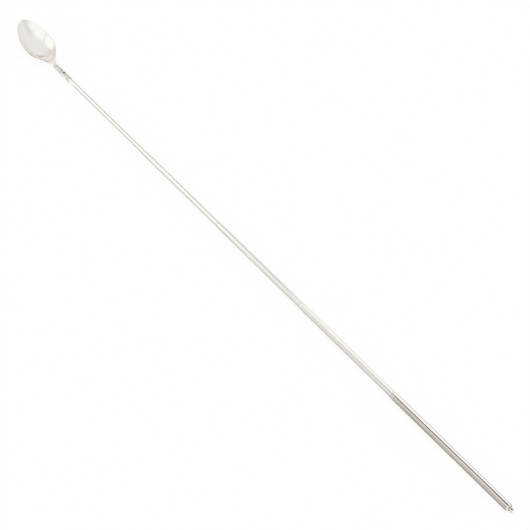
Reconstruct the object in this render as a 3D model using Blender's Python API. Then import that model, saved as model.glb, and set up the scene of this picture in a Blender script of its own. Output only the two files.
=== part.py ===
"""Telescopic spoon.

A small spoon bowl on a shaft of five nested steel tubes. Each tube slides and turns in the next larger
one. A brass tail plug closes its inner end, and a pair of bronze friction shells round the waist of that
plug grips the larger tube's bore. The swaged mouth of the larger tube stops the plug from coming out.

X runs along the shaft towards the bowl and Z is up. The spoon lies on the plane Z = 0, drawn out, with the
middle of its length above the origin. Lengths are in metres.
"""

import math

import bmesh
import bpy
from mathutils import Vector

# Shaft
TIP_TUBE_DIAMETER = 0.0033
TUBE_WALL = 0.00018
TUBE_GAP = 0.0001
HANDLE_LENGTH = 0.1205
TIP_TUBE_REACH = 0.002

# How far a tube stands out of the next larger one at its stop, and how far each is pushed in from there
FULL_DRAW = 0.1075
TIP_PUSHED_IN = 0.0007
SECOND_PUSHED_IN = 0.0063
THIRD_PUSHED_IN = 0.0043
FOURTH_PUSHED_IN = 0.0012

# Swaged mouth of a tube
MOUTH_LENGTH = 0.002
SWAGE_LENGTH = 0.0004
EDGE_CHAMFER = 0.00006

# Tail plug and friction shells
SPIGOT_LENGTH = 0.0024
FLANGE_LENGTH = 0.0006
WAIST_LENGTH = 0.004
SHELL_THICKNESS = 0.00015
SHELL_BOW = 0.00004
SHELL_GAP_DEGREES = 8.0

# Butt plug with its nub
NUB_DIAMETER = 0.003
NUB_LENGTH = 0.0037
NUB_CHAMFER = 0.0004
BUTT_DOME = 0.0005
BUTT_PLUG_DEPTH = 0.007

# Ferrule and its pin
FERRULE_LENGTH = 0.0228
FERRULE_WALL = 0.00045
FERRULE_TAPER = 0.00015
FERRULE_CHAMFER = 0.0003
SOCKET_DEPTH = 0.0058
REAR_GROOVE_PLACE = 0.0024
FRONT_GROOVE_PLACE = 0.0131
GROOVE_WIDTH = 0.0012
GROOVE_DEPTH = 0.00025
PIN_PAST_SOCKET = 0.003
PIN_DIAMETER = 0.0017
PIN_WALL = 0.0002
PIN_SLIT_DEGREES = 30.0

# Spoon head
TANG_DIAMETER = 0.003
TANG_SHORT_OF_SOCKET = 0.0004
NECK_WIDTH = 0.0038
NECK_THICKNESS = 0.0026
NECK_BLEND = 0.012
NECK_FADE = 0.018
BOWL_LENGTH = 0.0502
BOWL_WIDTH = 0.0255
BOWL_WIDEST_PLACE = 0.0285
BOWL_DEPTH = 0.0066
BOWL_WALL = 0.0009
RIM_RISE = 0.0135
RIM_SAG = 0.0025

# Clearances: of what slides or turns, of the shells, and of what is pressed together
RUNNING_CLEARANCE = 0.000035
SHELL_CLEARANCE = 0.00002
SHELL_END_CLEARANCE = 0.0001
SEAT_CLEARANCE = 0.00002

# Fineness of the faceted solids
TUBE_SIDES = 32
PIN_SIDES = 16
SHELL_STEPS = 14
SECTION_POINTS = 32
BOWL_STATIONS = 40
WELD_DISTANCE = 1e-7
SMOOTH_ANGLE = math.radians(35)

# Shape of the bowl: roundness of the tip, of the shoulders, of a cross-section and of the rim's edge
TIP_POWER = 1.55
NARROWING_POWER = 2.6
FLARE_POWER = 2.15
LENGTH_POWER = 0.75
SECTION_POWER = 2.5
RIM_POWER = 6.0
TIP_BLUNTNESS = 0.00001

# Colour and roughness of each metal
POLISHED_STEEL = ((0.80, 0.78, 0.75), 0.08)
SATIN_STEEL = ((0.66, 0.62, 0.57), 0.25)
BLACK_OXIDE = ((0.06, 0.055, 0.05), 0.45)
BRASS = ((0.72, 0.55, 0.26), 0.30)
BRONZE = ((0.68, 0.42, 0.24), 0.35)

TUBE_NAMES = ("tip", "second", "third", "fourth", "handle")
HANDLE = len(TUBE_NAMES) - 1
TUBE_LENGTH = FULL_DRAW + MOUTH_LENGTH + SWAGE_LENGTH
FERRULE_PLACE = TUBE_LENGTH + TIP_TUBE_REACH
PUSHED_IN = (TIP_PUSHED_IN, SECOND_PUSHED_IN, THIRD_PUSHED_IN, FOURTH_PUSHED_IN)
DRAWS = [FULL_DRAW - pushed_in for pushed_in in PUSHED_IN]
PIN_PLACE = SOCKET_DEPTH + PIN_PAST_SOCKET
SHAFT_LENGTH = HANDLE_LENGTH + sum(DRAWS) + TIP_TUBE_REACH
OVERALL_LENGTH = NUB_LENGTH + SHAFT_LENGTH + FERRULE_LENGTH + BOWL_LENGTH


def tube_radius(place):
    """Outside radius of a tube, counted from the tip tube at 0 to the handle tube at 4."""
    return TIP_TUBE_DIAMETER / 2 + place * (TUBE_WALL + TUBE_GAP)


def bore_radius(place):
    return tube_radius(place) - TUBE_WALL


AXIS_HEIGHT = tube_radius(HANDLE)


def clear_scene():
    for old in list(bpy.data.objects):
        bpy.data.objects.remove(old, do_unlink=True)


def metal(name, colour, roughness):
    material = bpy.data.materials.new(name)
    material.use_nodes = True
    shader = material.node_tree.nodes["Principled BSDF"]
    shader.inputs["Base Color"].default_value = (*colour, 1.0)
    shader.inputs["Metallic"].default_value = 1.0
    shader.inputs["Roughness"].default_value = roughness
    return material


def carrier(name, along, parent=None):
    """An empty on the shaft's axis that carries the pieces of one moving group."""
    empty = bpy.data.objects.new(name, None)
    empty.empty_display_size = TIP_TUBE_DIAMETER
    bpy.context.collection.objects.link(empty)
    empty.parent = parent
    start = parent.matrix_world.translation if parent else Vector((0, 0, 0))
    empty.location = Vector((along, 0, AXIS_HEIGHT)) - start
    bpy.context.view_layer.update()
    return empty


def piece(name, shape, finish, parent, offset=0.0):
    """Turn a finished bmesh into a named object that rides on a carrier."""
    bmesh.ops.remove_doubles(shape, verts=shape.verts, dist=WELD_DISTANCE)
    bmesh.ops.recalc_face_normals(shape, faces=shape.faces)
    mesh = bpy.data.meshes.new(name)
    shape.to_mesh(mesh)
    shape.free()
    mesh.shade_smooth()
    mesh.set_sharp_from_angle(angle=SMOOTH_ANGLE)
    mesh.materials.append(metal(name + "_metal", *finish))
    made = bpy.data.objects.new(name, mesh)
    bpy.context.collection.objects.link(made)
    made.parent = parent
    made.location.x = offset
    return made


def turned(name, outline, finish, parent, offset=0.0):
    """Turn an outline of (along, radius) points about X. One that starts on the axis also ends there."""
    shape = bmesh.new()
    points = [shape.verts.new((along, radius, 0)) for along, radius in outline]
    edges = [shape.edges.new(pair) for pair in zip(points, points[1:])]
    if outline[0][1] > 0:
        edges.append(shape.edges.new((points[-1], points[0])))
    bmesh.ops.spin(shape, geom=points + edges, cent=(0, 0, 0), axis=(1, 0, 0),
                   angle=2 * math.pi, steps=TUBE_SIDES, use_merge=True)
    return piece(name, shape, finish, parent, offset)


def lofted(name, sections, finish, parent, offset=0.0):
    """Skin a row of closed sections with as many points each, and close both ends."""
    shape = bmesh.new()
    rings = [[shape.verts.new(point) for point in section] for section in sections]
    for ring, following in zip(rings, rings[1:]):
        for near, far in zip(range(len(ring)), [*range(1, len(ring)), 0]):
            shape.faces.new((ring[near], ring[far], following[far], following[near]))
    shape.faces.new(rings[0])
    shape.faces.new(rings[-1])
    return piece(name, shape, finish, parent, offset)


def open_tube(name, place, length, parent):
    """A tube from its foot at 0 to its swaged mouth, which guides the next smaller tube."""
    outer = tube_radius(place)
    bore = bore_radius(place)
    lip_bore = tube_radius(place - 1) + RUNNING_CLEARANCE
    swage = bore - lip_bore
    lip = length - MOUTH_LENGTH
    outline = [
        (0, outer - EDGE_CHAMFER),
        (EDGE_CHAMFER, outer),
        (lip - SWAGE_LENGTH, outer),
        (lip, outer - swage),
        (length - EDGE_CHAMFER, outer - swage),
        (length, outer - swage - EDGE_CHAMFER),
        (length, lip_bore),
        (lip, lip_bore),
        (lip - SWAGE_LENGTH, bore),
        (0, bore),
    ]
    return turned(name, outline, POLISHED_STEEL, parent)


def tip_tube(parent):
    """The thinnest and longest tube: plain at both ends, its front end in the ferrule's socket."""
    outer = tube_radius(0)
    length = FERRULE_PLACE + SOCKET_DEPTH
    outline = [
        (0, outer - EDGE_CHAMFER),
        (EDGE_CHAMFER, outer),
        (length - EDGE_CHAMFER, outer),
        (length, outer - EDGE_CHAMFER),
        (length, bore_radius(0)),
        (0, bore_radius(0)),
    ]
    return turned("tip_tube", outline, POLISHED_STEEL, parent)


def waist_radius(place):
    """Waist of a tail plug, just clear of the ends of the friction shells round it."""
    shell_outside = bore_radius(place + 1) - SHELL_CLEARANCE - SHELL_BOW
    return shell_outside - SHELL_THICKNESS - RUNNING_CLEARANCE


def tail_plug(place, parent):
    """A spool on the tube's foot at 0: spigot in the tube, then flange, waist and flange behind it."""
    flange = bore_radius(place + 1) - RUNNING_CLEARANCE
    waist = waist_radius(place)
    spigot = bore_radius(place) - SEAT_CLEARANCE
    face = -SEAT_CLEARANCE
    shoulder = face - FLANGE_LENGTH
    tail = shoulder - WAIST_LENGTH
    end = tail - FLANGE_LENGTH
    outline = [
        (SPIGOT_LENGTH, 0),
        (SPIGOT_LENGTH, spigot - EDGE_CHAMFER),
        (SPIGOT_LENGTH - EDGE_CHAMFER, spigot),
        (face, spigot),
        (face, flange),
        (shoulder, flange),
        (shoulder, waist),
        (tail, waist),
        (tail, flange),
        (end + EDGE_CHAMFER, flange),
        (end, flange - EDGE_CHAMFER),
        (end, 0),
    ]
    return turned(TUBE_NAMES[place] + "_tail_plug", outline, BRASS, parent)


def friction_shell(name, place, first_degrees, parent):
    """Half of a split, slightly barrelled sleeve, centred on its carrier."""
    outside = bore_radius(place + 1) - SHELL_CLEARANCE
    half = WAIST_LENGTH / 2 - SHELL_END_CLEARANCE
    profile = [
        (-half, outside - SHELL_BOW),
        (0, outside),
        (half, outside - SHELL_BOW),
        (half, outside - SHELL_BOW - SHELL_THICKNESS),
        (0, outside - SHELL_THICKNESS),
        (-half, outside - SHELL_BOW - SHELL_THICKNESS),
    ]
    sweep = 180 - SHELL_GAP_DEGREES
    sections = []
    for step in range(SHELL_STEPS + 1):
        turn = math.radians(first_degrees + SHELL_GAP_DEGREES / 2 + sweep * step / SHELL_STEPS)
        side, up = math.cos(turn), math.sin(turn)
        sections.append([(along, radius * side, radius * up) for along, radius in profile])
    return lofted(name, sections, BRONZE, parent)


def butt_plug(parent):
    """Closes the handle's butt at 0, and ends in the nub behind it."""
    nub = NUB_DIAMETER / 2
    spigot = bore_radius(HANDLE) - SEAT_CLEARANCE
    outline = [
        (-NUB_LENGTH, 0),
        (-NUB_LENGTH, nub - NUB_CHAMFER),
        (-NUB_LENGTH + NUB_CHAMFER, nub),
        (-BUTT_DOME, nub),
        (-BUTT_DOME / 2, (nub + spigot) / 2),
        (0, spigot),
        (BUTT_PLUG_DEPTH - EDGE_CHAMFER, spigot),
        (BUTT_PLUG_DEPTH, spigot - EDGE_CHAMFER),
        (BUTT_PLUG_DEPTH, 0),
    ]
    return turned("butt_plug", outline, POLISHED_STEEL, parent)


def ferrule_radius():
    return tube_radius(0) + SEAT_CLEARANCE + FERRULE_WALL


def groove(place, outside):
    """A round-bottomed ring groove in the ferrule, as three points of its outline."""
    return [
        (place - GROOVE_WIDTH / 2, outside),
        (place, outside - GROOVE_DEPTH),
        (place + GROOVE_WIDTH / 2, outside),
    ]


def ferrule(parent, offset):
    """A turned sleeve: the tip tube sits in its rear socket at 0, and the spoon's tang in its front bore."""
    outside = ferrule_radius()
    socket = tube_radius(0) + SEAT_CLEARANCE
    bore = TANG_DIAMETER / 2 + SEAT_CLEARANCE
    floor = SOCKET_DEPTH + SEAT_CLEARANCE
    outline = [
        (0, outside - FERRULE_TAPER),
        (FERRULE_CHAMFER, outside),
        *groove(REAR_GROOVE_PLACE, outside),
        *groove(FRONT_GROOVE_PLACE, outside),
        (FERRULE_LENGTH - FERRULE_CHAMFER, outside),
        (FERRULE_LENGTH, outside - FERRULE_TAPER),
        (FERRULE_LENGTH, bore),
        (floor, bore),
        (floor, socket),
        (0, socket),
    ]
    return turned("ferrule", outline, SATIN_STEEL, parent, offset)


def spring_pin(parent, offset):
    """A slotted tube across the ferrule that holds the spoon's tang."""
    outside = PIN_DIAMETER / 2
    half = math.sqrt(ferrule_radius() ** 2 - outside ** 2)
    profile = [
        (outside - PIN_WALL, -half),
        (outside - EDGE_CHAMFER, -half),
        (outside, -half + EDGE_CHAMFER),
        (outside, half - EDGE_CHAMFER),
        (outside - EDGE_CHAMFER, half),
        (outside - PIN_WALL, half),
    ]
    sections = []
    for step in range(PIN_SIDES + 1):
        turn = math.radians(PIN_SLIT_DEGREES / 2 + (360 - PIN_SLIT_DEGREES) * step / PIN_SIDES)
        ahead, side = math.cos(turn), math.sin(turn)
        sections.append([(radius * ahead, radius * side, height) for radius, height in profile])
    return lofted("ferrule_pin", sections, BLACK_OXIDE, parent, offset)


def pin_hole_cutter(parent, offset):
    """Drills the ferrule and the tang for the pin, and reaches well past both sides of the ferrule."""
    shape = bmesh.new()
    radius = PIN_DIAMETER / 2 + SEAT_CLEARANCE
    reach = 4 * ferrule_radius()
    bmesh.ops.create_cone(shape, cap_ends=True, segments=2 * PIN_SIDES,
                          radius1=radius, radius2=radius, depth=reach)
    cutter = piece("pin_hole_cutter", shape, SATIN_STEEL, parent, offset)
    cutter.hide_render = True
    cutter.display_type = "WIRE"
    return cutter


def drill(target, cutter):
    cut = target.modifiers.new("pin_hole", "BOOLEAN")
    cut.operation = "DIFFERENCE"
    cut.solver = "EXACT"
    cut.object = cutter


def bowl_half_width(along):
    """Half the width of the rim, from the neck at 0 to the tip."""
    neck = NECK_WIDTH / 2
    widest = BOWL_WIDTH / 2
    if along > BOWL_WIDEST_PLACE:
        towards_tip = (along - BOWL_WIDEST_PLACE) / (BOWL_LENGTH - BOWL_WIDEST_PLACE)
        return widest * math.sqrt(max(0.0, 1 - towards_tip ** TIP_POWER))
    towards_neck = 1 - along / BOWL_WIDEST_PLACE
    return neck + (widest - neck) * (1 - towards_neck ** NARROWING_POWER) ** FLARE_POWER


def rim_rise(along):
    """Height of the rim above its start at the neck: it sags, then rises to the tip."""
    share = along / BOWL_LENGTH
    return RIM_RISE * share - 4 * RIM_SAG * share * (1 - share)


def hollow(along):
    """Depth of the bowl's middle line below its rim."""
    return BOWL_DEPTH * math.sin(math.pi * along / BOWL_LENGTH) ** LENGTH_POWER


def bowl_stations():
    """Places of the bowl's sections, closer together towards the tip."""
    last = BOWL_LENGTH - TIP_BLUNTNESS
    return [last * math.sin(math.pi / 2 * step / BOWL_STATIONS) for step in range(1, BOWL_STATIONS + 1)]


def smooth_step(share):
    share = min(1.0, max(0.0, share))
    return share * share * (3 - 2 * share)


def wall(along):
    """Thickness of the sheet, which the neck leads into the bowl."""
    return NECK_THICKNESS + (BOWL_WALL - NECK_THICKNESS) * smooth_step(along / NECK_FADE)


def rim_start():
    """Height of the rim at the neck over the shaft's axis, so that the bowl touches the plane Z = 0."""
    lowest = min(rim_rise(along) - hollow(along) - wall(along) / 2 for along in bowl_stations())
    return -AXIS_HEIGHT - lowest


def head_section(along, half_width, half_thickness, rim):
    """A section of the head: oval in the neck, turning into a thin crescent in the bowl."""
    into_bowl = smooth_step(along / NECK_BLEND)
    points = []
    for step in range(SECTION_POINTS):
        turn = 2 * math.pi * step / SECTION_POINTS
        across = math.cos(turn)
        oval = half_thickness * math.sin(turn)
        middle = rim + rim_rise(along) - hollow(along) * (1 - abs(across) ** SECTION_POWER)
        edge = math.sqrt(max(0.0, 1 - abs(across) ** RIM_POWER))
        crescent = middle + math.copysign(wall(along) / 2, math.sin(turn)) * edge
        height = oval + (crescent - oval) * into_bowl
        points.append((along, half_width * across, height))
    return points


def tang_section(along, radius):
    turns = [2 * math.pi * step / SECTION_POINTS for step in range(SECTION_POINTS)]
    return [(along, radius * math.cos(turn), radius * math.sin(turn)) for turn in turns]


def spoon_head(parent, offset):
    """Bowl, neck and round tang in one piece. The ferrule's front face is at 0."""
    rim = rim_start()
    tang = TANG_DIAMETER / 2
    tang_end = SOCKET_DEPTH + TANG_SHORT_OF_SOCKET - FERRULE_LENGTH
    sections = [
        tang_section(tang_end, tang - EDGE_CHAMFER),
        tang_section(tang_end + EDGE_CHAMFER, tang),
        tang_section(0, tang),
    ]
    for along in [SEAT_CLEARANCE, *bowl_stations()]:
        sections.append(head_section(along, bowl_half_width(along), NECK_THICKNESS / 2, rim))
    return lofted("spoon_head", sections, POLISHED_STEEL, parent, offset)


def telescoping_tube(place, front, outer_carrier):
    """One tube with its plug and shells. Gives the carrier that turns in the shells."""
    name = TUBE_NAMES[place]
    foot = front - TUBE_LENGTH
    shells_middle = foot - SEAT_CLEARANCE - FLANGE_LENGTH - WAIST_LENGTH / 2
    shells = carrier(name + "_shells_carrier", shells_middle, outer_carrier)
    friction_shell(name + "_friction_shell_upper", place, 0, shells)
    friction_shell(name + "_friction_shell_lower", place, 180, shells)
    tube = carrier(name + "_tube_carrier", foot, shells)
    tail_plug(place, tube)
    if place == 0:
        tip_tube(tube)
    else:
        open_tube(name + "_tube", place, TUBE_LENGTH, tube)
    return tube


def head_assembly(tube):
    """Ferrule, pin and spoon head at the front of the tip tube."""
    sleeve = ferrule(tube, FERRULE_PLACE)
    head = spoon_head(tube, FERRULE_PLACE + FERRULE_LENGTH)
    spring_pin(tube, FERRULE_PLACE + PIN_PLACE)
    cutter = pin_hole_cutter(tube, FERRULE_PLACE + PIN_PLACE)
    drill(sleeve, cutter)
    drill(head, cutter)


def main():
    clear_scene()
    butt = NUB_LENGTH - OVERALL_LENGTH / 2
    handle = carrier("handle_carrier", butt)
    open_tube("handle_tube", HANDLE, HANDLE_LENGTH, handle)
    butt_plug(handle)
    front = butt + HANDLE_LENGTH
    outer = handle
    for place in reversed(range(HANDLE)):
        front += DRAWS[place]
        outer = telescoping_tube(place, front, outer)
    head_assembly(outer)


main()
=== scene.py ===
# %% [markdown]
# # A telescopic spoon, drawn out
#
# The spoon lies on a white table: a small bowl, a short sleeve behind it and five nested bright tubes.
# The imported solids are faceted, so each piece that shows is modelled again here, in the same place, with
# fine round rings. The plugs and friction shells inside the tubes keep their solids and only get their
# metal.

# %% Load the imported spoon
import math

import bpy
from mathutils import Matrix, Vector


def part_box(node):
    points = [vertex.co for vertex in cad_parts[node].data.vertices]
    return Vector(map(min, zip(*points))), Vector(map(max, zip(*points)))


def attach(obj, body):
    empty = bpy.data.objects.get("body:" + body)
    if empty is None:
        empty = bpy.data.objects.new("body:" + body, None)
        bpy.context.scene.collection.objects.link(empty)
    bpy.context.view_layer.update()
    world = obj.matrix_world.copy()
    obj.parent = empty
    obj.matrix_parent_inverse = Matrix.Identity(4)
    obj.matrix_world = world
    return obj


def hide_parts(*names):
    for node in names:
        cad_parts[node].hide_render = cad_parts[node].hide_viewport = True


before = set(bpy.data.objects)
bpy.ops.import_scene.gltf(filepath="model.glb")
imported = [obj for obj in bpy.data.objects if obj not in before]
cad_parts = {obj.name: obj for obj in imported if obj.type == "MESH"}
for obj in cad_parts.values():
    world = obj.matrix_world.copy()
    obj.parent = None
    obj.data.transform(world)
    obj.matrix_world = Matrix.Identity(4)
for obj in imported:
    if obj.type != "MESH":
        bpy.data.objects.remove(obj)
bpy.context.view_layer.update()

# %% [markdown]
# ## Where the shaft lies
#
# All round pieces share one axis along X. Their places could be typed in, but a node's box already says
# where a piece starts and ends on that axis and how thick it is, so they are measured and follow the
# solids. The axis itself is the middle of the handle tube.

# %% Measure the shaft
TUBES = ["tip_tube", "second_tube", "third_tube", "fourth_tube", "handle_tube"]


def reach(node):
    """Start and end of a round node along the shaft, and its radius."""
    low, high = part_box(node)
    return low.x, high.x, (high.y - low.y) / 2


handle_low, handle_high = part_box("handle_tube")
AXIS_HEIGHT = (handle_low.z + handle_high.z) / 2
for tube in TUBES:
    print(tube, ["%.5f" % value for value in reach(tube)])

# %% [markdown]
# ## Camera
#
# The picture is taken from above the handle's end, on the left of the shaft, with a long lens. The far
# bowl is then only a little smaller than the near handle, and the shaft runs from corner to corner. A
# camera can be dragged into place by hand, but its turn round the table, its height angle and its
# distance from the point that it looks at are easier to read and to correct.

# %% Camera
CAMERA_TURN = math.radians(145.03)
CAMERA_HEIGHT_ANGLE = math.radians(42.8)
CAMERA_DISTANCE = 1.5
CAMERA_LENS = 141.9
LOOK_AT = (-0.02685, -0.0049, 0.0)

flat_distance = CAMERA_DISTANCE * math.cos(CAMERA_HEIGHT_ANGLE)
camera_place = (
    LOOK_AT[0] + flat_distance * math.cos(CAMERA_TURN),
    LOOK_AT[1] + flat_distance * math.sin(CAMERA_TURN),
    LOOK_AT[2] + CAMERA_DISTANCE * math.sin(CAMERA_HEIGHT_ANGLE),
)
camera_angles = (math.pi / 2 - CAMERA_HEIGHT_ANGLE, 0, CAMERA_TURN + math.pi / 2)
bpy.ops.object.camera_add(location=camera_place, rotation=camera_angles)
camera = bpy.context.object
camera.data.lens = CAMERA_LENS
bpy.context.scene.camera = camera
bpy.context.scene.view_settings.view_transform = "Standard"
print("camera at", ["%.3f" % value for value in camera_place])

# %% [markdown]
# ## Shader sums
#
# A finish is easier to read as a sum than as a row of nodes. A small class wraps a socket and answers to
# plus, minus and times by adding a Math node, and one method makes every other node. Where a finish
# changes over a surface, the edge between its two states is a pair of numbers: where the change starts
# and where it ends.

# %% Sockets that add up
class Wire:
    """An output socket that can be used in sums."""

    def __init__(self, tree, socket):
        self.tree = tree
        self.socket = socket

    def __add__(self, other):
        return self.tree.maths("ADD", self, other)

    def __radd__(self, other):
        return self.tree.maths("ADD", other, self)

    def __sub__(self, other):
        return self.tree.maths("SUBTRACT", self, other)

    def __rsub__(self, other):
        return self.tree.maths("SUBTRACT", other, self)

    def __mul__(self, other):
        return self.tree.maths("MULTIPLY", self, other)

    def __rmul__(self, other):
        return self.tree.maths("MULTIPLY", other, self)


# %% Nodes of a material
# A Mix node has several sockets of the same name. These are the ones for colours.
MIX_SHARE, MIX_FIRST, MIX_SECOND, MIX_RESULT = 0, 6, 7, 2


class Tree:
    """The nodes of one material or of the world."""

    def __init__(self, owner):
        owner.use_nodes = True
        self.nodes = owner.node_tree.nodes
        self.links = owner.node_tree.links

    def feed(self, socket, value):
        """Give a socket a wire or a plain value."""
        if isinstance(value, Wire):
            self.links.new(value.socket, socket)
        else:
            socket.default_value = value

    def node(self, kind, settings, sockets, output=0):
        """Make a node: its settings first, then the values or wires of its sockets."""
        made = self.nodes.new(kind)
        for name, value in settings.items():
            setattr(made, name, value)
        for name, value in sockets.items():
            self.feed(made.inputs[name], value)
        return Wire(self, made.outputs[output])

    def maths(self, operation, *values):
        return self.node("ShaderNodeMath", {"operation": operation}, dict(enumerate(values)))

    def place(self, kind="Object"):
        """The piece's own coordinates, or its UV map."""
        return self.node("ShaderNodeTexCoord", {}, {}, kind)

    def axis(self, place, name):
        return self.node("ShaderNodeSeparateXYZ", {}, {"Vector": place}, name)

    def ray(self, name):
        """What Light Path says of the ray that meets the surface."""
        return self.node("ShaderNodeLightPath", {}, {}, name)

    def noise(self, place, cells, detail):
        """Noise with so many cells to the metre along X, Y and Z."""
        stretched = self.node("ShaderNodeMapping", {}, {"Vector": place, "Scale": cells})
        return self.node("ShaderNodeTexNoise", {}, {"Vector": stretched, "Scale": 1.0, "Detail": detail})

    def slope(self, value, edge, kind="LINEAR"):
        """0 before the edge, 1 after it and an even climb over it."""
        sockets = {"Value": value, "From Min": edge[0], "From Max": edge[1]}
        return self.node("ShaderNodeMapRange", {"interpolation_type": kind}, sockets)

    def rise(self, value, edge):
        """0 before the edge, 1 after it and a soft step over it."""
        return self.slope(value, edge, "SMOOTHSTEP")

    def fall(self, value, edge):
        return 1 - self.rise(value, edge)

    def band(self, value, first_edge, last_edge):
        """1 between two edges and 0 outside them."""
        return self.rise(value, first_edge) * self.fall(value, last_edge)

    def mix_colour(self, share, first, second):
        sockets = {MIX_SHARE: share, MIX_FIRST: first, MIX_SECOND: second}
        return self.node("ShaderNodeMix", {"data_type": "RGBA"}, sockets, MIX_RESULT)

    def cover(self, colour, layers):
        """Lay colours over a first one, each with its own share."""
        for share, layer in layers:
            colour = self.mix_colour(share, colour, layer)
        return colour

    def mix_shader(self, share, first, second):
        return self.node("ShaderNodeMixShader", {}, {0: share, 1: first, 2: second})

    def glow(self, colour, strength=1.0):
        return self.node("ShaderNodeEmission", {}, {"Color": colour, "Strength": strength})

    def show(self, surface):
        self.feed(self.nodes["Material Output"].inputs["Surface"], surface)


# %% [markdown]
# ## Table and light
#
# The table is white paper under even white light from all round, which leaves only a soft shadow where a
# tube meets the paper. Stronger light would whiten the paper, but the metal with it. So part of the
# paper's white is its own glow, for the eye and for reflections.

# %% Even light and table
WHITE = (1, 1, 1, 1)
WORLD_STRENGTH = 1.0
TABLE_SIZE = 12.0
PAPER_WHITE = (0.56, 0.55, 0.535, 1.0)
GLOW_STRENGTH = 1.11

world = bpy.data.worlds.new("even_light")
bpy.context.scene.world = world
background = Tree(world).nodes["Background"]
background.inputs["Color"].default_value = WHITE
background.inputs["Strength"].default_value = WORLD_STRENGTH

bpy.ops.object.select_all(action="DESELECT")
bpy.ops.mesh.primitive_plane_add(size=TABLE_SIZE)
table = bpy.context.object
table.name = "table"
paper = bpy.data.materials.new("paper")
table.data.materials.append(paper)
tree = Tree(paper)
lit_paper = tree.node("ShaderNodeBsdfDiffuse", {}, {"Color": PAPER_WHITE})
bright_paper = tree.glow(WHITE, GLOW_STRENGTH)
print("table", table.dimensions[:])

# %% [markdown]
# The eye sees the same white all over the table. In the metal the paper shows as it does round the real
# spoon: bright beside the bowl's neck on the camera's side and by the nub, plain along the thin tubes,
# and in a warm shade beside the handle that grows paler away from the tube. Each place has its own
# edges, in metres along the shaft (X) or to its side (Y), so it can be moved without moving the others.

# %% Where the paper is bright
OPEN_PAPER_START = (-0.188, -0.174)
BOWL_PAPER_START = (0.229, 0.239)
BOWL_PAPER_END = (0.288, 0.30)
BOWL_PAPER_SIDE = (-0.003, 0.0)
BELLY_START = (0.271, 0.277)
BELLY_WIDTH = 0.009
WIDE_PAPER_START = (0.262, 0.27)
WIDE_PAPER_SIDE = (0.014, 0.018)
NUB_SIDE = (0.0, 0.0012)
NUB_NEAR_END = (-0.3052, -0.3040)
NUB_FAR_END = (-0.3092, -0.3080)

spot = tree.place()
along = tree.axis(spot, "X")
side = tree.axis(spot, "Y")
open_paper = tree.rise(along, OPEN_PAPER_START)
off_bowl = side - BELLY_WIDTH * tree.rise(along, BELLY_START)
wide_of_bowl = tree.rise(along, WIDE_PAPER_START) * tree.rise(side, WIDE_PAPER_SIDE)
bowl_paper = tree.band(along, BOWL_PAPER_START, BOWL_PAPER_END)
bowl_paper = bowl_paper * tree.rise(off_bowl, BOWL_PAPER_SIDE) * (1 - wide_of_bowl)
near_side = tree.rise(side, NUB_SIDE)
nub_paper = tree.fall(along, NUB_NEAR_END) * near_side + tree.fall(along, NUB_FAR_END) * (1 - near_side)
print("bright paper from", BOWL_PAPER_START[0], "to", BOWL_PAPER_END[1])

# %% Paper for the eye and for reflections
GLOW_SEEN = 0.8
GLOW_REFLECTED = 0.32
GLOW_REFLECTED_AT_ENDS = 0.66
HANDLE_SHADE = 0.30
HANDLE_SHADE_WARM = (0.29, 0.225, 0.13, 1)
HANDLE_SHADE_PALE = (0.50, 0.405, 0.275, 1)
HANDLE_SHADE_SIDE = (0.003, 0.008)

glossy = tree.ray("Is Glossy Ray")
reflected = GLOW_REFLECTED * open_paper + GLOW_REFLECTED_AT_ENDS * (bowl_paper + nub_paper)
glowing = GLOW_SEEN * tree.ray("Is Camera Ray") + reflected * (glossy + tree.ray("Is Transmission Ray"))
surface = tree.mix_shader(glowing, lit_paper, bright_paper)
shade = tree.mix_colour(tree.rise(side, HANDLE_SHADE_SIDE), HANDLE_SHADE_WARM, HANDLE_SHADE_PALE)
shaded = HANDLE_SHADE * (1 - open_paper) * (1 - nub_paper) * glossy
tree.show(tree.mix_shader(shaded, surface, tree.glow(shade)))
print("paper nodes", len(tree.nodes))

# %% [markdown]
# ## Light tents
#
# Polished metal shows the room more than itself. A picture of a room could be wrapped round it, but a
# room made of cloth has bands with names, which can be moved one by one. Two half round tunnels, which
# only reflections see, stand over the spoon: a wide one for the bowl and a narrow one for the tubes. A
# place on the cloth is given by how far it is along the shaft, in metres, and by its turn, in degrees,
# from the table on the camera's side (0) over the roof (90) to the table behind the spoon (180).

# %% A tunnel of cloth
TENT_SIDES = 64
HIDDEN_FROM = ("visible_camera", "visible_diffuse", "visible_transmission", "visible_shadow")


def tunnel(name, radius, back, front):
    """A half round tunnel over the shaft that only reflections see."""
    bpy.ops.object.select_all(action="DESELECT")
    bpy.ops.mesh.primitive_cylinder_add(vertices=TENT_SIDES, radius=radius, depth=front - back,
                                        end_fill_type="NOTHING", location=((back + front) / 2, 0, 0),
                                        rotation=(0, math.pi / 2, 0))
    cloth = bpy.context.object
    cloth.name = name
    bpy.ops.object.transform_apply()
    bpy.ops.object.mode_set(mode="EDIT")
    bpy.ops.mesh.select_all(action="SELECT")
    bpy.ops.mesh.bisect(plane_co=(0, 0, 0), plane_no=(0, 0, 1), clear_inner=True)
    bpy.ops.object.mode_set(mode="OBJECT")
    for setting in HIDDEN_FROM:
        setattr(cloth, setting, False)
    print(name, "faces", len(cloth.data.polygons))
    return cloth


def cloth_tree(cloth):
    """A new material for the cloth, with its place along the shaft and its turn in degrees."""
    material = bpy.data.materials.new(cloth.name)
    cloth.data.materials.append(material)
    tree = Tree(material)
    place = tree.place()
    turn = tree.maths("ARCTAN2", tree.axis(place, "Z"), tree.axis(place, "Y")) * math.degrees(1)
    return tree, tree.axis(place, "X"), turn


# %% [markdown]
# The wide tunnel has two bright windows with a bar between them on the camera's side, and is pale grey
# behind the spoon. The bowl shows both windows in its right half and the grey cloth in its left half.
# The windows' upper edges come lower along the shaft, and the cloth behind has a crease, a patch and
# three cross bands.

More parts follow.
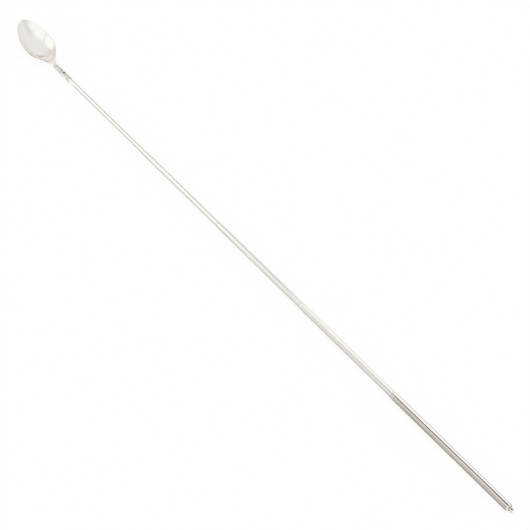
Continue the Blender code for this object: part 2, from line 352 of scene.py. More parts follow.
# %% Windows of the wide tunnel
ROOM_RADIUS = 0.5
ROOM_BACK = -1.4
ROOM_FRONT = 1.8
ROOM_LOW_TURN = (-5, 25)
FIRST_WINDOW_START = (-0.14, 0.04)
FIRST_WINDOW_END = (0.30, 0.335)
FIRST_WINDOW_TOP_TURN = (74, 104)
FIRST_WINDOW_DROP = 16
FIRST_WINDOW_DROP_START = (0.17, 0.29)
SECOND_WINDOW_START = (0.335, 0.37)
SECOND_WINDOW_END = (0.85, 1.0)
SECOND_WINDOW_TOP_TURN = (57, 74)
SECOND_WINDOW_DROP = 26
SECOND_WINDOW_DROP_START = (0.48, 0.93)

room = tunnel("room_cloth", ROOM_RADIUS, ROOM_BACK, ROOM_FRONT)
tree, along, turn = cloth_tree(room)
above_table = tree.rise(turn, ROOM_LOW_TURN)
lowered = turn + FIRST_WINDOW_DROP * tree.rise(along, FIRST_WINDOW_DROP_START)
first_window = tree.band(along, FIRST_WINDOW_START, FIRST_WINDOW_END)
first_window = first_window * tree.fall(lowered, FIRST_WINDOW_TOP_TURN) * above_table
lowered = turn + SECOND_WINDOW_DROP * tree.slope(along, SECOND_WINDOW_DROP_START)
second_window = tree.band(along, SECOND_WINDOW_START, SECOND_WINDOW_END)
second_window = second_window * tree.fall(lowered, SECOND_WINDOW_TOP_TURN) * above_table

# %% Cloth of the wide tunnel
ROOM_GREY = (0.87, 0.86, 0.845, 1)
ROOM_FAR = (0.825, 0.815, 0.80, 1)
ROOM_PALE = (0.775, 0.755, 0.735, 1)
ROOM_SHADE = (0.745, 0.725, 0.705, 1)
ROOM_BROWN = (0.60, 0.57, 0.545, 1)
ROOM_LIGHT = (0.95, 0.93, 0.91, 1)
FIRST_WINDOW_WHITE = (1.03, 1.01, 0.985, 1)
SECOND_WINDOW_WHITE = (1.06, 1.04, 1.02, 1)
FAR_TURN = (135, 165)
PALE_START = (0.52, 0.70)
BEYOND_START = (0.86, 1.1)
CREASE_TURNS = ((96, 106), (108, 122))
CREASE_END = (0.05, 0.20)
REAR_SHADE_END = (-0.16, -0.02)
REAR_SHADE_SHARE = 0.6
PATCH_ENDS = ((0.76, 0.86), (1.0, 1.2))
PATCH_TURNS = ((40, 50), (68, 84))
BEHIND_TURN = (110, 122)
BROWN_BAND = ((0.57, 0.62), (0.68, 0.72))
LIGHT_BAND = ((0.70, 0.73), (0.77, 0.80))
DARK_BAND = ((0.79, 0.83), (0.88, 0.92))
DARK_BAND_TURN = (122, 134)

behind = tree.rise(turn, BEHIND_TURN)
colour = tree.cover(ROOM_GREY, [
    (tree.rise(turn, FAR_TURN), ROOM_FAR),
    (tree.rise(along, PALE_START), ROOM_PALE),
    (tree.rise(along, BEYOND_START), ROOM_GREY),
    (tree.band(turn, *CREASE_TURNS) * tree.fall(along, CREASE_END), ROOM_SHADE),
    (REAR_SHADE_SHARE * tree.fall(along, REAR_SHADE_END), ROOM_SHADE),
    (tree.band(along, *PATCH_ENDS) * tree.band(turn, *PATCH_TURNS), ROOM_SHADE),
    (tree.band(along, *BROWN_BAND) * behind, ROOM_BROWN),
    (tree.band(along, *LIGHT_BAND) * behind, ROOM_LIGHT),
    (tree.band(along, *DARK_BAND) * tree.rise(turn, DARK_BAND_TURN), ROOM_SHADE),
    (first_window, FIRST_WINDOW_WHITE),
    (second_window, SECOND_WINDOW_WHITE),
])
tree.show(tree.glow(colour))
print("room nodes", len(tree.nodes))

# %% [markdown]
# The narrow tunnel is bright over the thin tubes on the camera's side and bright behind the thick tubes.
# Beside the handle it is warm grey, with one dark strip along the roof that turns away towards the butt
# and turns again and widens by the nub. A reflection that comes from far along the tunnel finds the
# cloth grey, as a lamp with a grid in front looks dark from aslant. Without that, the bowl seen from the
# front would be white on white.

# %% Dark strip and panels of the narrow tunnel
SHAFT_CLOTH_RADIUS = 0.04
SHAFT_CLOTH_BACK = -0.42
SHAFT_CLOTH_FRONT = 0.271
HANDLE_CLOTH_END = (-0.1628, -0.1616)
BUTT_CLOTH_START = (-0.27, -0.165)
NUB_CLOTH = ((-0.325, -0.305), (-0.2874, -0.2866))
STRIP_TURN = 74
STRIP_TURN_TO_BUTT = 24
STRIP_TURN_BY_NUB = 20
STRIP_WIDER_TO_BUTT = 2
STRIP_WIDER_AT_BUTT = 5
STRIP_WIDER_AT_BUTT_END = (-0.285, -0.255)
STRIP_WIDER_BY_NUB = 16
STRIP_NEAR_EDGE = (-13, -8)
STRIP_FAR_EDGE = (6, 11)
FAINT_STRIP_SHARE = 0.36
FAINT_STRIP_END = (-0.17, -0.09)
FRONT_PANEL_START = (-0.12, 0.12)
FRONT_PANEL_TURNS = ((-5, 32), (95, 122))
REAR_PANEL_END = (-0.07, -0.02)
REAR_PANEL_NEAR_EDGE = (8, 18)
REAR_PANEL_LOW_TURN = (152, 190)

shaft_cloth = tunnel("shaft_cloth", SHAFT_CLOTH_RADIUS, SHAFT_CLOTH_BACK, SHAFT_CLOTH_FRONT)
tree, along, turn = cloth_tree(shaft_cloth)
on_handle = tree.fall(along, HANDLE_CLOTH_END)
to_butt = 1 - tree.slope(along, BUTT_CLOTH_START)
by_nub = tree.band(along, *NUB_CLOTH)
past_strip = turn - (STRIP_TURN + STRIP_TURN_TO_BUTT * to_butt + STRIP_TURN_BY_NUB * by_nub)
wider = STRIP_WIDER_TO_BUTT * to_butt + STRIP_WIDER_AT_BUTT * tree.fall(along, STRIP_WIDER_AT_BUTT_END)
past_near_edge = past_strip + wider + STRIP_WIDER_BY_NUB * by_nub
past_far_edge = past_strip - STRIP_WIDER_BY_NUB * by_nub
strip = tree.rise(past_near_edge, STRIP_NEAR_EDGE) * tree.fall(past_far_edge, STRIP_FAR_EDGE)
faint = FAINT_STRIP_SHARE * tree.fall(along, FAINT_STRIP_END)
strip = strip * (on_handle + (1 - on_handle) * faint)
front_panel = tree.rise(along, FRONT_PANEL_START) * tree.band(turn, *FRONT_PANEL_TURNS)
rear_panel = tree.fall(along, REAR_PANEL_END) * tree.rise(past_far_edge, REAR_PANEL_NEAR_EDGE)
rear_panel = rear_panel * tree.fall(turn, REAR_PANEL_LOW_TURN)

# %% Cloth of the narrow tunnel
CLOTH_GREY = (0.735, 0.72, 0.70, 1)
CLOTH_SHADE = (0.66, 0.64, 0.62, 1)
CLOTH_CREAM = (0.86, 0.835, 0.805, 1)
CLOTH_WARM = (0.613, 0.552, 0.502, 1)
CLOTH_DARK = (0.05, 0.045, 0.04, 1)
CLOTH_WHITE = (1.16, 1.145, 1.12, 1)
REAR_WHITE = (1.06, 1.045, 1.02, 1)
CLOTH_FAR = (0.60, 0.585, 0.565, 1)
SHADE_START = (0.13, 0.2)
NEAR_WALL_END = (4, 18)
CREAM_END = (-0.03, 0.06)
BESIDE_STRIP = (-60, -40)
PALE_SHARE = 0.42
PALE_SHARE_TO_BUTT = 0.48
FAR_DISTANCE = (0.058, 0.076)

near_wall = tree.fall(past_strip, NEAR_WALL_END)
pale = (PALE_SHARE + PALE_SHARE_TO_BUTT * to_butt) * tree.rise(past_strip, BESIDE_STRIP)
colour = tree.cover(CLOTH_GREY, [
    (tree.rise(along, SHADE_START), CLOTH_SHADE),
    (near_wall * tree.fall(along, CREAM_END), CLOTH_CREAM),
    (near_wall * on_handle * (1 - pale) * (1 - by_nub), CLOTH_WARM),
    (front_panel, CLOTH_WHITE),
    (rear_panel, REAR_WHITE),
    (strip, CLOTH_DARK),
    (tree.rise(tree.ray("Ray Length"), FAR_DISTANCE), CLOTH_FAR),
])
tree.show(tree.glow(colour))
print("shaft cloth nodes", len(tree.nodes))

# %% [markdown]
# ## Turned pieces
#
# Tubes, sleeve and plug are round. A lathe would spin an outline round the axis. Here one ring is drawn
# out instead: it is extruded along the shaft to the next point of the outline and scaled to its radius
# there, so the rings lie where the outline has its points. Rounded edges are short arcs in the outline.
# A ring that comes back to its start is welded to it.

# %% Finish a mesh
WELD = 1e-7
SMOOTH_ANGLE = math.radians(35)


def finish_mesh(made):
    """Weld the piece, turn its faces outwards and shade it smooth between its edges."""
    bpy.ops.object.mode_set(mode="EDIT")
    bpy.ops.mesh.select_all(action="SELECT")
    bpy.ops.mesh.remove_doubles(threshold=WELD)
    bpy.ops.mesh.normals_make_consistent(inside=False)
    bpy.ops.object.mode_set(mode="OBJECT")
    bpy.ops.object.shade_smooth_by_angle(angle=SMOOTH_ANGLE)
    print(made.name, "faces", len(made.data.polygons))


# %% Draw a ring along the shaft
RING_SIDES = 96
ARC_STEPS = 4
FACES_BOWL, FACES_OUT, FACES_BUTT = 0, 90, 180  # degrees
HOLD = 0.00005
LONG_RUN = 4 * HOLD


def arc(along, radius, size, first_degrees, last_degrees, steps=ARC_STEPS):
    """Points of a rounded edge, from one direction to another."""
    points = []
    for step in range(steps + 1):
        turn = math.radians(first_degrees + (last_degrees - first_degrees) * step / steps)
        points.append((along + size * math.cos(turn), radius + size * math.sin(turn)))
    return points


def held(outline):
    """The outline with a ring close to each end of a long run, which keeps the shading straight."""
    points = [outline[0]]
    for (near, old), (far, new) in zip(outline, outline[1:]):
        length = math.hypot(far - near, new - old)
        if length > LONG_RUN:
            for share in (HOLD / length, 1 - HOLD / length):
                points.append((near + (far - near) * share, old + (new - old) * share))
        points.append((far, new))
    return points


def turned(name, outline, capped=False):
    """A round piece from an outline of (along, radius) points. A capped one has flat end faces."""
    outline = held(outline)
    bpy.ops.object.select_all(action="DESELECT")
    start, first_radius = outline[0]
    bpy.ops.mesh.primitive_circle_add(vertices=RING_SIDES, radius=first_radius,
                                      location=(start, 0, AXIS_HEIGHT), rotation=(0, math.pi / 2, 0))
    made = bpy.context.object
    made.name = name
    bpy.ops.object.transform_apply()
    bpy.ops.object.mode_set(mode="EDIT")
    if capped:
        bpy.ops.mesh.edge_face_add()
    for (near, old), (far, new) in zip(outline, outline[1:]):
        bpy.ops.mesh.extrude_edges_move(TRANSFORM_OT_translate={"value": (far - near, 0, 0)})
        bpy.ops.transform.resize(value=(1, new / old, new / old), center_override=(far, 0, AXIS_HEIGHT))
    if capped:
        bpy.ops.mesh.edge_face_add()
    bpy.ops.object.mode_set(mode="OBJECT")
    finish_mesh(made)
    return made


# %% [markdown]
# ## Tubes
#
# Each tube is thin drawn steel. Its front end is pressed in a little, so that it guides the next smaller
# tube and stops that tube's plug. A plain pipe would leave the joint open, so the outline goes out along
# the tube, down a soft step to the mouth and back through the bore. The thinnest tube is plain, because
# its front end sits in the sleeve.

# %% Outline of a tube
TUBE_WALL = 0.00018
RUNNING_CLEARANCE = 0.000035
MOUTH_LENGTH = 0.002
SWAGE_LENGTH = 0.0004
SWAGE_STEPS = 6
EDGE_ROUND = 0.00006


def swage(along, radius, depth):
    """The soft step from the tube's full radius to its pressed mouth."""
    points = []
    for step in range(SWAGE_STEPS + 1):
        share = step / SWAGE_STEPS
        drop = depth * (1 - math.cos(math.pi * share)) / 2
        points.append((along + SWAGE_LENGTH * share, radius - drop))
    return points


def tube_start(foot, radius):
    """The foot of a tube, from its bore round the outer edge."""
    edge = arc(foot + EDGE_ROUND, radius - EDGE_ROUND, EDGE_ROUND, FACES_BUTT, FACES_OUT)
    return [(foot, radius - TUBE_WALL), *edge]


def plain_tube(node):
    foot, front, radius = reach(node)
    bore = radius - TUBE_WALL
    outline = tube_start(foot, radius)
    outline += arc(front - EDGE_ROUND, radius - EDGE_ROUND, EDGE_ROUND, FACES_OUT, FACES_BOWL)
    outline += [(front, bore), (foot, bore)]
    return turned(node + "_skin", outline)


def open_tube(node, inner_node):
    """A tube whose mouth is pressed in to the next smaller tube."""
    foot, mouth, radius = reach(node)
    bore = radius - TUBE_WALL
    depth = bore - reach(inner_node)[2] - RUNNING_CLEARANCE
    lip = mouth - MOUTH_LENGTH
    outline = tube_start(foot, radius)
    outline += swage(lip - SWAGE_LENGTH, radius, depth)
    outline += arc(mouth - EDGE_ROUND, radius - depth - EDGE_ROUND, EDGE_ROUND, FACES_OUT, FACES_BOWL)
    outline += [(mouth, bore - depth), (lip, bore - depth), (lip - SWAGE_LENGTH, bore), (foot, bore)]
    return turned(node + "_skin", outline)


# %% Tubes
tube_skins = [plain_tube("tip_tube")]
for inner, outer in zip(TUBES, TUBES[1:]):
    tube_skins.append(open_tube(outer, inner))

# %% [markdown]
# ## Butt plug
#
# A plug closes the handle's end and leaves a short nub standing out, with a small dome round its foot.
# Nub, dome and plug could be three pieces, but the real one is turned from one rod, and so is this one.
# The part that sits inside the tube needs no more than its plain end.

# %% Butt plug
NUB_RADIUS = 0.0015
NUB_ROUND = 0.0004
NUB_ROUND_STEPS = 6
BUTT_DOME = 0.0005
DOME_SHOULDER_ALONG = 0.35
DOME_SHOULDER_OUT = 0.55
CAP_RADIUS = 0.0003

plug_back, plug_front, plug_radius = reach("butt_plug")
handle_butt = reach("handle_tube")[0]
dome_start = handle_butt - BUTT_DOME
shoulder_place = dome_start + BUTT_DOME * DOME_SHOULDER_ALONG
shoulder_radius = NUB_RADIUS + (plug_radius - NUB_RADIUS) * DOME_SHOULDER_OUT
nub_middle = NUB_RADIUS - NUB_ROUND
plug_outline = [(plug_back, CAP_RADIUS)]
plug_outline += arc(plug_back + NUB_ROUND, nub_middle, NUB_ROUND, FACES_BUTT, FACES_OUT, NUB_ROUND_STEPS)
plug_outline += [(dome_start, NUB_RADIUS), (shoulder_place, shoulder_radius), (handle_butt, plug_radius)]
plug_outline += arc(plug_front - EDGE_ROUND, plug_radius - EDGE_ROUND, EDGE_ROUND, FACES_OUT, FACES_BOWL)
plug_outline += [(plug_front, CAP_RADIUS)]
butt_skin = turned("butt_plug_skin", plug_outline, capped=True)

# %% [markdown]
# ## Sleeve
#
# The sleeve joins the bowl's neck to the thinnest tube. It is turned like the tubes, with two shallow
# ring grooves. The grooves could be bump in the material, but at this size their shade comes from the
# real dip. The bore is wider at the rear, where the tube goes in, than at the front, where the bowl's
# tang does.

# %% Sleeve
SLEEVE_ROUND = 0.0003
SLEEVE_TAPER = 0.00015
REAR_GROOVE_PLACE = 0.0024
FRONT_GROOVE_PLACE = 0.0131
GROOVE_WIDTH = 0.0012
GROOVE_DEPTH = 0.00025
GROOVE_STEPS = 8
SOCKET_DEPTH = 0.0058
TANG_RADIUS = 0.0015
SEAT_CLEARANCE = 0.00002

sleeve_rear, sleeve_front, sleeve_radius = reach("ferrule")
socket_end = sleeve_rear + SOCKET_DEPTH
socket_radius = reach("tip_tube")[2] + SEAT_CLEARANCE
tang_bore = TANG_RADIUS + SEAT_CLEARANCE


def groove(along, radius):
    """A round-bottomed ring groove."""
    points = []
    for step in range(GROOVE_STEPS + 1):
        share = step / GROOVE_STEPS
        dip = GROOVE_DEPTH * (1 - math.cos(2 * math.pi * share)) / 2
        points.append((along + GROOVE_WIDTH * (share - 0.5), radius - dip))
    return points


end_radius = sleeve_radius - SLEEVE_TAPER
sleeve_outline = [(sleeve_rear, socket_radius), (sleeve_rear, end_radius)]
sleeve_outline += [(sleeve_rear + SLEEVE_ROUND, sleeve_radius)]
sleeve_outline += groove(sleeve_rear + REAR_GROOVE_PLACE, sleeve_radius)
sleeve_outline += groove(sleeve_rear + FRONT_GROOVE_PLACE, sleeve_radius)
sleeve_outline += [(sleeve_front - SLEEVE_ROUND, sleeve_radius), (sleeve_front, end_radius)]
sleeve_outline += [(sleeve_front, tang_bore), (socket_end, tang_bore)]
sleeve_outline += [(socket_end, socket_radius), (sleeve_rear, socket_radius)]
sleeve_skin = turned("ferrule_skin", sleeve_outline)

# %% [markdown]
# ## Pin
#
# A spring pin goes through the sleeve and the tang from top to bottom. It is a strip rolled into a tube
# with a slit left open. It could be cut out of a cylinder, but the slit's edges would then need care.
# Here a circle loses the points of the slit, is drawn up to its height and gets its wall from Solidify
# and its soft edges from Bevel.

# %% Pin
PIN_RADIUS = 0.00085
PIN_SIDES = 48
PIN_WALL = 0.0002
PIN_SLIT = math.radians(30)
PIN_ROUND = 0.00004
PIN_ROUND_STEPS = 2

pin_low, pin_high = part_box("ferrule_pin")
pin_place = (pin_low.x + pin_high.x) / 2

bpy.ops.object.select_all(action="DESELECT")
bpy.ops.mesh.primitive_circle_add(vertices=PIN_SIDES, radius=PIN_RADIUS, location=(pin_place, 0, pin_low.z))
pin_skin = bpy.context.object
pin_skin.name = "ferrule_pin_skin"
bpy.ops.object.transform_apply()
bpy.ops.object.mode_set(mode="EDIT")
bpy.ops.mesh.select_all(action="DESELECT")
bpy.ops.object.mode_set(mode="OBJECT")
for vertex in pin_skin.data.vertices:
    turn = math.atan2(vertex.co.y, vertex.co.x - pin_place)
    vertex.select = abs(turn) < PIN_SLIT / 2
bpy.ops.object.mode_set(mode="EDIT")
bpy.ops.mesh.delete(type="VERT")
bpy.ops.mesh.select_all(action="SELECT")
bpy.ops.mesh.extrude_edges_move(TRANSFORM_OT_translate={"value": (0, 0, pin_high.z - pin_low.z)})
bpy.ops.mesh.select_all(action="SELECT")
bpy.ops.mesh.normals_make_consistent(inside=False)
bpy.ops.object.mode_set(mode="OBJECT")
wall = pin_skin.modifiers.new("wall", "SOLIDIFY")
wall.thickness = PIN_WALL
wall.offset = -1.0  # inwards
bpy.ops.object.modifier_apply(modifier=wall.name)
edges = pin_skin.modifiers.new("edges", "BEVEL")
edges.width = PIN_ROUND
edges.segments = PIN_ROUND_STEPS
bpy.ops.object.modifier_apply(modifier=edges.name)
finish_mesh(pin_skin)

# %% [markdown]
# ## Bowl
#
# The head is stamped from one piece: a round tang in the sleeve, an oval neck, and a thin bowl that sags
# and then rises to its tip. It could be pushed out of a sphere and joined to a neck, but the seam would
# show in a mirror. So one grid is wrapped round it all: one way of the grid runs from the tang to the
# tip, the other round each section. A section is an oval in the neck and turns into a thin crescent in
# the bowl.

# %% Outline of the bowl
NECK_WIDTH = 0.0038
BOWL_WIDEST_PLACE = 0.0285
BOWL_DEPTH = 0.0066
RIM_RISE = 0.0135
RIM_SAG = 0.0025
TIP_POWER = 1.55
NARROWING_POWER = 2.6
FLARE_POWER = 2.15
LENGTH_POWER = 0.75

head_low, head_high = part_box("spoon_head")
BOWL_LENGTH = head_high.x - sleeve_front
BOWL_WIDTH = head_high.y - head_low.y


def half_width(along):
    """Half the width of the rim, from the neck at 0 to the tip."""
    neck = NECK_WIDTH / 2
    widest = BOWL_WIDTH / 2
    if along > BOWL_WIDEST_PLACE:
        towards_tip = (along - BOWL_WIDEST_PLACE) / (BOWL_LENGTH - BOWL_WIDEST_PLACE)
        return widest * math.sqrt(max(0.0, 1 - towards_tip ** TIP_POWER))
    towards_neck = 1 - along / BOWL_WIDEST_PLACE
    return neck + (widest - neck) * (1 - towards_neck ** NARROWING_POWER) ** FLARE_POWER


def rim_rise(along):
    """Height of the rim: a straight rise with a sag, which is deepest half way."""
    share = along / BOWL_LENGTH
    return RIM_RISE * share - 4 * RIM_SAG * share * (1 - share)


def hollow(along):
    """Depth of the bowl's middle below its rim."""
    return BOWL_DEPTH * max(0.0, math.sin(math.pi * along / BOWL_LENGTH)) ** LENGTH_POWER


print("bowl %.4f long, %.4f wide" % (BOWL_LENGTH, BOWL_WIDTH))

# %% Set the bowl on the table
NECK_THICKNESS = 0.0026
NECK_FADE = 0.018
BOWL_WALL = 0.0009
UNDERSIDE_STEPS = 200


def smooth_step(share):
    share = min(1.0, max(0.0, share))
    return share * share * (3 - 2 * share)


def metal_thickness(along):
    """Thickness of the metal, which goes from the neck's to the bowl's."""
    return NECK_THICKNESS + (BOWL_WALL - NECK_THICKNESS) * smooth_step(along / NECK_FADE)


def underside(along):
    """Height of the bowl's underside over the rim's start."""
    return rim_rise(along) - hollow(along) - metal_thickness(along) / 2


underside_places = [BOWL_LENGTH * step / UNDERSIDE_STEPS for step in range(UNDERSIDE_STEPS + 1)]
rim_start = -AXIS_HEIGHT - min(underside(along) for along in underside_places)
print("rim starts %.5f over the axis" % rim_start)

# %% Wrap a grid round the head
HEAD_STATIONS = 240
HEAD_ROUND = 128
TANG_SHARE = 0.06
NECK_BLEND = 0.012
SECTION_POWER = 2.5
RIM_POWER = 6.0


def head_section(along, turn):
    """A point of the bowl or neck, before it is put on the axis."""
    across = math.cos(turn)
    middle = rim_start + rim_rise(along) - hollow(along) * (1 - abs(across) ** SECTION_POWER)
    edge = math.sqrt(max(0.0, 1 - abs(across) ** RIM_POWER))
    crescent = middle + math.copysign(metal_thickness(along) / 2, math.sin(turn)) * edge
    oval = NECK_THICKNESS / 2 * math.sin(turn)
    height = oval + (crescent - oval) * smooth_step(along / NECK_BLEND)
    return half_width(along) * across, height


def head_point(share, turn):
    """Share 0 is the middle of the tang's end face and share 1 the tip.

    The tang takes half of its share for its end face and half for its length.
    """
    tang_length = sleeve_front - head_low.x
    if share < TANG_SHARE:
        along = -tang_length * (1 - max(0.0, 2 * share / TANG_SHARE - 1))
        radius = TANG_RADIUS * min(1.0, 2 * share / TANG_SHARE)
        return sleeve_front + along, radius * math.cos(turn), AXIS_HEIGHT + radius * math.sin(turn)
    onward = (share - TANG_SHARE) / (1 - TANG_SHARE)
    along = max(SEAT_CLEARANCE, BOWL_LENGTH * math.sin(math.pi / 2 * onward))
    side, height = head_section(along, turn)
    return sleeve_front + along, side, AXIS_HEIGHT + height


bpy.ops.object.select_all(action="DESELECT")
bpy.ops.mesh.primitive_grid_add(x_subdivisions=HEAD_STATIONS, y_subdivisions=HEAD_ROUND, size=1)
head_skin = bpy.context.object
head_skin.name = "spoon_head_skin"
for vertex in head_skin.data.vertices:  # the grid goes from -0.5 to 0.5 both ways
    vertex.co = head_point(vertex.co.x + 0.5, 2 * math.pi * (vertex.co.y + 0.5))
finish_mesh(head_skin)

# %% [markdown]
# ## Pin hole
#
# The pin's hole goes through the sleeve and the tang in it, which are drilled at once on the real spoon.
# An outline can only leave a hole round the axis, so a Boolean cuts this one across it. The drill is
# turned by half a side, so that none of its corners lies on an edge of the pieces.

# %% Drill the pin's hole
DRILL_LENGTH = 4 * sleeve_radius


def drill(target):
    """Cut the pin's hole through a piece."""
    bpy.ops.object.select_all(action="DESELECT")
    bpy.ops.mesh.primitive_cylinder_add(vertices=PIN_SIDES, radius=PIN_RADIUS + SEAT_CLEARANCE,
                                        depth=DRILL_LENGTH, location=(pin_place, 0, AXIS_HEIGHT),
                                        rotation=(0, 0, math.pi / PIN_SIDES))
    bpy.ops.object.transform_apply()
    cutter = bpy.context.object
    bpy.context.view_layer.objects.active = target
    cut = target.modifiers.new("pin_hole", "BOOLEAN")
    cut.operation = "DIFFERENCE"
    cut.object = cutter
    bpy.ops.object.modifier_apply(modifier=cut.name)
    bpy.data.objects.remove(cutter, do_unlink=True)
    print(target.name, "drilled, faces", len(target.data.polygons))


for drilled in (sleeve_skin, head_skin):
    drill(drilled)

# %% [markdown]
# ## Steel, brass and bronze
#
# Polished steel is nearly a mirror. What makes it steel is small: the polish is a little uneven, drawing
# has left fine lines along the tubes, and sliding has rubbed them. A picture of scratched steel would
# repeat and stretch, so all of it is noise on the piece's own coordinates, stretched along the shaft: so
# many cells to the metre each way, and a detail. It changes the roughness and the bump, and the colour a
# little.

# %% A metal
FULL_METAL = 1.0


def new_metal(name):
    """A new material, its nodes and the piece's own coordinates."""
    material = bpy.data.materials.new(name)
    tree = Tree(material)
    return material, tree, tree.place()


def finish_metal(tree, colour, roughness, metallic=FULL_METAL):
    shader = tree.nodes["Principled BSDF"]
    tree.feed(shader.inputs["Metallic"], metallic)
    tree.feed(shader.inputs["Base Color"], colour)
    tree.feed(shader.inputs["Roughness"], roughness)


def bump(tree, height, depth):
    """Bump of a height between 0 and 1, as deep as given in metres."""
    normal = tree.node("ShaderNodeBump", {}, {"Height": height, "Distance": depth, "Strength": 1.0})
    tree.feed(tree.nodes["Principled BSDF"].inputs["Normal"], normal)


# %% [markdown]
# The tubes have the drawn lines. The ring at each open mouth has a painted highlight, and the lip in
# front of it is dark, which marks the joints. Both are painted at the mouth's place, so each tube has a
# steel of its own, and the mark moves with the tube.

# %% Drawn steel, for tubes and plug
DRAWN_LIGHT = (0.90, 0.885, 0.865, 1)
DRAWN_DARK = (0.86, 0.84, 0.815, 1)
DRAWN_CLOUD = ((40, 160, 160), 3.0)
DRAWN_LINES = ((25, 5200, 5200), 2.0)
DRAWN_LINE_DEPTH = 0.0000004
DRAWN_ROUGHNESS = 0.05
CLOUD_ROUGHNESS = 0.03
LINE_ROUGHNESS = 0.03
RUBBED_LINES = ((12, 2600, 2600), 1.0)
RUBBED_EDGE = (0.60, 0.72)
RUBBED_ROUGHNESS = 0.05
MOUTH_RING = MOUTH_LENGTH + SWAGE_LENGTH
PAINTED_MOUTH_HIGHLIGHT = (0.965, 0.95, 0.93, 1)
MOUTH_RING_ROUGHNESS = 0.07
LIP_LENGTH = 0.0007
LIP_SOFT = 0.0002
LIP_DARK = (0.58, 0.56, 0.535, 1)


def drawn_steel(name, mouth=None):
    """Polished tube with fine lines along it, and with a painted highlight ring and a dark lip where it has
    an open mouth.
    """
    material, tree, place = new_metal(name)
    cloud = tree.noise(place, *DRAWN_CLOUD)
    lines = tree.noise(place, *DRAWN_LINES)
    rubbed = tree.slope(tree.noise(place, *RUBBED_LINES), RUBBED_EDGE)
    colour = tree.mix_colour(cloud, DRAWN_LIGHT, DRAWN_DARK)
    roughness = DRAWN_ROUGHNESS + CLOUD_ROUGHNESS * cloud + LINE_ROUGHNESS * lines
    roughness = roughness + RUBBED_ROUGHNESS * rubbed
    if mouth is not None:
        along = tree.axis(place, "X")
        # painted highlight on the ring at the mouth, and a dark lip at its front edge
        ring = tree.rise(along, (mouth - MOUTH_RING, mouth - MOUTH_LENGTH))
        lip = tree.rise(along, (mouth - LIP_LENGTH, mouth - LIP_LENGTH + LIP_SOFT))
        colour = tree.cover(colour, [(ring, PAINTED_MOUTH_HIGHLIGHT), (lip, LIP_DARK)])
        roughness = roughness + MOUTH_RING_ROUGHNESS * ring
    finish_metal(tree, colour, roughness)
    bump(tree, lines, DRAWN_LINE_DEPTH)
    return material


drawn = drawn_steel("drawn_steel")
tube_steels = [drawn] + [drawn_steel("drawn_steel_" + tube, reach(tube)[1]) for tube in TUBES[1:]]
print("tube steels", [steel.name for steel in tube_steels])

# %% [markdown]
# The bowl is buffed, which leaves a faint cloud and a fine swirl, and a duller rim that the buff hardly
# reaches. The rim could be found by its height, but it rises and sags, so it is found on the grid's own
# UV map, where it is a straight line. The neck has a painted highlight: its steel is painted brighter.

# %% Mirror steel, for the bowl
MIRROR_LIGHT = (0.945, 0.93, 0.91, 1)
MIRROR_DARK = (0.92, 0.90, 0.875, 1)
MIRROR_CLOUD = ((120, 120, 120), 4.0)
MIRROR_SWIRL = ((900, 3600, 900), 2.0)
MIRROR_SWIRL_DEPTH = 0.0000006
MIRROR_ROUGHNESS = 0.05
SWIRL_ROUGHNESS = 0.02
NECK_PAINTED_HIGHLIGHT = (1.0, 0.985, 0.965, 1)
NECK_HIGHLIGHT_END = (sleeve_front + 0.009, sleeve_front + 0.015)
RIM_DULL = (0.66, 0.645, 0.63, 1)
RIM_EDGE = (0.10, 0.28)
RIM_ROUGHNESS = 0.2


def mirror_steel():
    """Polished bowl with a painted highlight on the neck and a dull rim."""
    material, tree, place = new_metal("mirror_steel")
    round_section = tree.axis(tree.place("UV"), "Y") * (2 * math.pi)
    off_rim = tree.maths("ABSOLUTE", tree.maths("SINE", round_section))
    rim = tree.fall(off_rim, RIM_EDGE)
    # painted highlight: the neck's steel is painted brighter than the bowl's
    neck = tree.fall(tree.axis(place, "X"), NECK_HIGHLIGHT_END)
    cloud = tree.noise(place, *MIRROR_CLOUD)
    swirl = tree.noise(place, *MIRROR_SWIRL)
    colour = tree.cover(MIRROR_LIGHT, [(cloud, MIRROR_DARK), (neck, NECK_PAINTED_HIGHLIGHT), (rim, RIM_DULL)])
    roughness = MIRROR_ROUGHNESS + CLOUD_ROUGHNESS * cloud + SWIRL_ROUGHNESS * swirl + RIM_ROUGHNESS * rim
    finish_metal(tree, colour, roughness)
    bump(tree, swirl, MIRROR_SWIRL_DEPTH)
    return material


mirror = mirror_steel()
print("bowl steel", mirror.name)

# %% [markdown]
# The sleeve isn't polished. It has the fine rings of the lathe, stains, and is darker in its two grooves.
# The darker colour could be painted by hand, but the grooves' places are known from the outline, so it is a
# soft band round each of them.

# %% Satin steel, for the sleeve
SATIN_LIGHT = (0.83, 0.805, 0.775, 1)
SATIN_STAINED = (0.67, 0.645, 0.615, 1)
SATIN_STAINS = ((420, 700, 700), 2.0)
SATIN_STAIN_EDGE = (0.38, 0.62)
SATIN_CLOUD = ((300, 300, 300), 3.0)
SATIN_RINGS = ((9000, 60, 60), 2.0)
SATIN_RING_DEPTH = 0.000002
SATIN_ROUGHNESS = 0.16
SATIN_CLOUD_ROUGHNESS = 0.10
SATIN_RING_ROUGHNESS = 0.06
GROOVE_DARK = (0.58, 0.555, 0.525, 1)
GROOVE_DARK_EDGE = (0.3 * GROOVE_WIDTH, 0.7 * GROOVE_WIDTH)


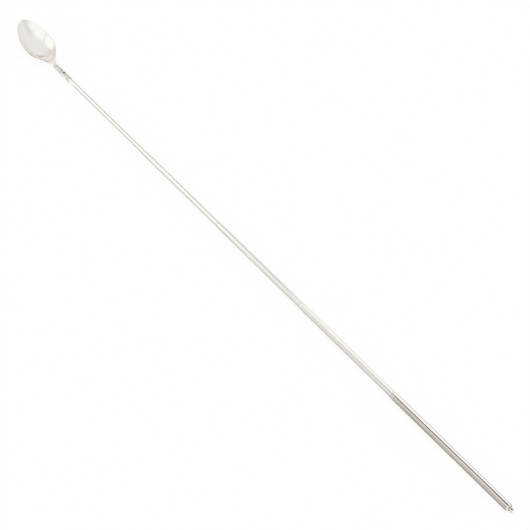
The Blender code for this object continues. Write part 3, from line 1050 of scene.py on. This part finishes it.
def satin_steel():
    """Turned sleeve: darker, stained, with rings and darker grooves."""
    material, tree, place = new_metal("satin_steel")
    along = tree.axis(place, "X")
    # darker colour in a soft band round each groove
    groove_dark = 0
    for groove_place in (REAR_GROOVE_PLACE, FRONT_GROOVE_PLACE):
        off_groove = tree.maths("ABSOLUTE", along - (sleeve_rear + groove_place))
        groove_dark = groove_dark + tree.fall(off_groove, GROOVE_DARK_EDGE)
    rings = tree.noise(place, *SATIN_RINGS)
    cloud = tree.noise(place, *SATIN_CLOUD)
    stain = tree.rise(tree.noise(place, *SATIN_STAINS), SATIN_STAIN_EDGE)
    colour = tree.cover(SATIN_LIGHT, [(stain, SATIN_STAINED), (groove_dark, GROOVE_DARK)])
    roughness = SATIN_ROUGHNESS + SATIN_CLOUD_ROUGHNESS * cloud + SATIN_RING_ROUGHNESS * rings
    finish_metal(tree, colour, roughness)
    bump(tree, rings, SATIN_RING_DEPTH)
    return material


satin = satin_steel()
print("sleeve steel", satin.name)

# %% [markdown]
# The pin is spring steel with a thin black oxide, which is only half a metal to the eye. The plugs
# inside are turned brass and the shells rolled bronze. Each could have a function of its own, but both
# have fine rings and differ only in colour, so one function makes them.

# %% Black oxide, brass and bronze
OXIDE_METAL = 0.6
OXIDE_CLOUD = ((2500, 2500, 2500), 3.0)
OXIDE_DARK = (0.02, 0.018, 0.016, 1)
OXIDE_LIGHT = (0.05, 0.045, 0.04, 1)
OXIDE_ROUGHNESS = 0.45
OXIDE_CLOUD_ROUGHNESS = 0.1
LATHE_RINGS = ((7000, 80, 80), 2.0)
LATHE_RING_DEPTH = 0.000002
LATHE_ROUGHNESS = 0.24
LATHE_RING_ROUGHNESS = 0.12
LATHE_CLOUD = ((400, 400, 400), 3.0)
BRASS_LIGHT = (0.74, 0.57, 0.28, 1)
BRASS_DARK = (0.66, 0.48, 0.21, 1)
BRONZE_LIGHT = (0.70, 0.44, 0.26, 1)
BRONZE_DARK = (0.60, 0.36, 0.20, 1)


def black_oxide():
    """Spring steel with a thin black oxide."""
    material, tree, place = new_metal("black_oxide")
    cloud = tree.noise(place, *OXIDE_CLOUD)
    colour = tree.mix_colour(cloud, OXIDE_DARK, OXIDE_LIGHT)
    finish_metal(tree, colour, OXIDE_ROUGHNESS + OXIDE_CLOUD_ROUGHNESS * cloud, OXIDE_METAL)
    return material


def ringed_metal(name, light, dark):
    """Brass or bronze with fine rings, for the pieces inside."""
    material, tree, place = new_metal(name)
    rings = tree.noise(place, *LATHE_RINGS)
    cloud = tree.noise(place, *LATHE_CLOUD)
    finish_metal(tree, tree.mix_colour(cloud, light, dark), LATHE_ROUGHNESS + LATHE_RING_ROUGHNESS * rings)
    bump(tree, rings, LATHE_RING_DEPTH)
    return material


black = black_oxide()
brass = ringed_metal("turned_brass", BRASS_LIGHT, BRASS_DARK)
bronze = ringed_metal("rolled_bronze", BRONZE_LIGHT, BRONZE_DARK)
print("other metals", black.name, brass.name, bronze.name)

# %% [markdown]
# ## Put the spoon together
#
# Each modelled piece stands for its imported node, moves with that node's body and gets its metal. The
# pieces inside are right as they are, so they keep their solids and only change their metal.

# %% Ride, replace and finish
def dress(skin, node, body, material):
    skin.data.materials.append(material)
    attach(skin, body)
    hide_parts(node)


TUBE_BODIES = ["tip_tube", "second_tube", "third_tube", "fourth_tube", "handle"]
for skin, node, body, steel in zip(tube_skins, TUBES, TUBE_BODIES, tube_steels):
    dress(skin, node, body, steel)
dress(butt_skin, "butt_plug", "handle", drawn)
dress(sleeve_skin, "ferrule", "tip_tube", satin)
dress(pin_skin, "ferrule_pin", "tip_tube", black)
dress(head_skin, "spoon_head", "tip_tube", mirror)

INNER_METALS = {"_tail_plug": brass, "_friction_shell_": bronze}
for name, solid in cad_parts.items():
    for piece, metal in INNER_METALS.items():
        if piece in name:
            solid.data.materials.clear()
            solid.data.materials.append(metal)
